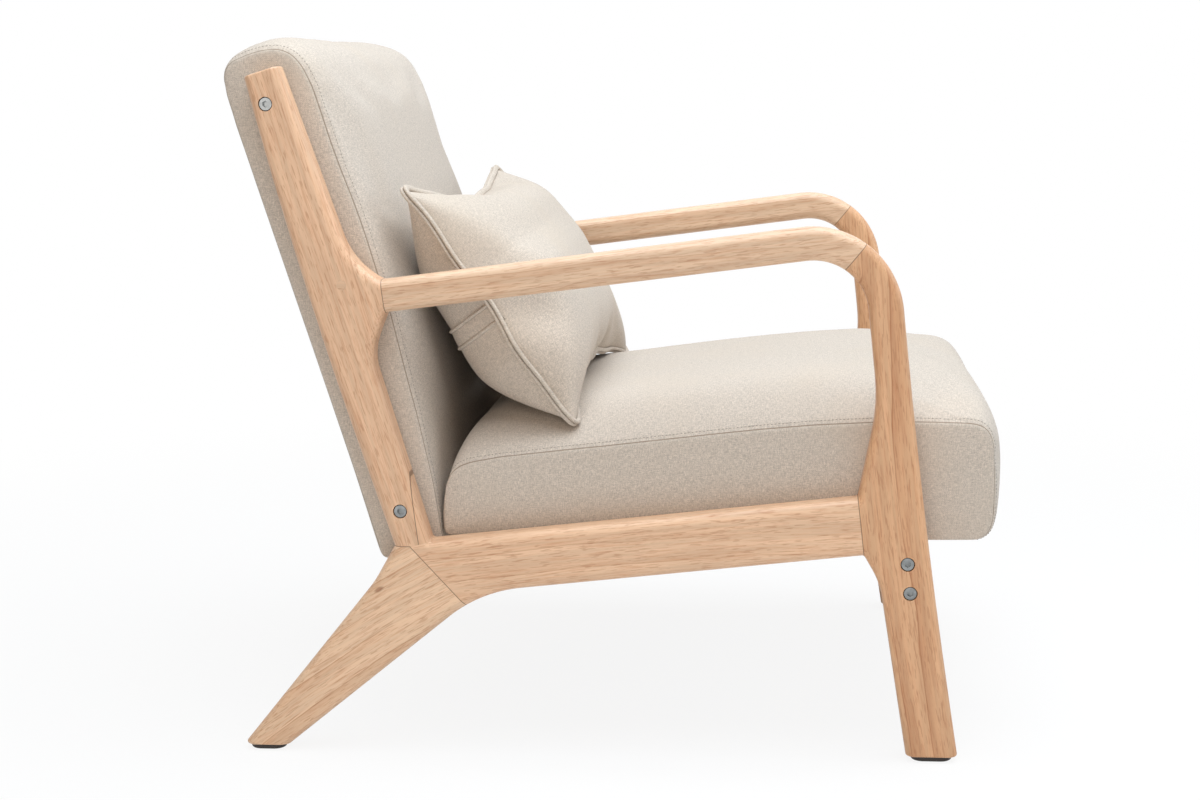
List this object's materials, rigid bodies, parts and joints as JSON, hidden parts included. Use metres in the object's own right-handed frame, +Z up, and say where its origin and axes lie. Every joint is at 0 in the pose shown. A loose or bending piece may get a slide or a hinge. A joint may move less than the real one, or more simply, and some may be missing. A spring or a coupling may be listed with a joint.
{
  "type": "lounge armchair with wooden legs",
  "caption": "Low single-seat lounge armchair with open timber side frames, a fabric seat, a leaning upholstered back and a loose lumbar pillow.",
  "frame": {"origin": "on the floor, under the middle of the chair's bounding box", "axes": "+Z up, -Y the way the sitter faces, X across the chair from right side (-X) to left side (+X)"},
  "size_m": [0.67, 0.8171, 0.761],
  "materials": {
    "timber": "satin clear lacquer on pale rubberwood",
    "plug_timber": "satin clear lacquer, face grain",
    "dowel_beech": "unfinished beech",
    "frame_board": "unfinished plywood and pine",
    "glide_plastic": "black moulded plastic",
    "zinc_steel": "bright zinc plate",
    "spring_steel": "dark drawn spring wire",
    "felt": "needled felt",
    "foam": "open-cell polyurethane foam",
    "webbing": "woven elastic webbing",
    "dust_cloth": "black non-woven cloth",
    "upholstery_fabric": "greige melange linen-look weave",
    "pillow_fabric": "greige melange linen-look weave",
    "fibre_filling": "polyester fibre"
  },
  "bodies": {
    "chair": {"back_post_right": "timber", "armrest_right": "timber", "front_leg_right": "timber", "side_rail_right": "timber", "rear_leg_right": "timber", "back_post_left": "timber", "armrest_left": "timber", "front_leg_left": "timber", "side_rail_left": "timber", "rear_leg_left": "timber", "front_cross_rail": "timber", "joint_plugs": "plug_timber", "frame_dowels": "dowel_beech", "front_glides": "glide_plastic", "rear_glides": "glide_plastic", "glide_nails": "zinc_steel", "back_bolts": "zinc_steel", "rail_bolts": "zinc_steel", "spring_washers": "zinc_steel", "barrel_nuts": "zinc_steel", "back_inserts": "zinc_steel", "seat_screws": "zinc_steel", "plate_screws": "zinc_steel", "tie_plates": "zinc_steel", "spring_clips": "zinc_steel", "seat_springs": "spring_steel", "seat_frame_front": "frame_board", "seat_frame_rear": "frame_board", "seat_frame_left": "frame_board", "seat_frame_right": "frame_board", "seat_bearer": "frame_board", "seat_corner_blocks": "frame_board", "back_stile_right": "frame_board", "back_stile_left": "frame_board", "back_board_bottom": "frame_board", "back_board_middle": "frame_board", "back_board_top": "frame_board", "seat_felt": "felt", "seat_foam": "foam", "back_foam": "foam", "back_straps": "webbing", "seat_dust_cover": "dust_cloth", "seat_cover": "upholstery_fabric", "back_cover": "upholstery_fabric", "back_rear_panel": "upholstery_fabric"},
    "pillow": {"pillow_cover": "pillow_fabric", "pillow_filling": "fibre_filling"}
  },
  "joints": [
    {"name": "pillow_lift", "type": "slide", "parent": "chair", "child": "pillow", "axis": [0, 0, 1], "range_m": [0, 0.45]}
  ]
}
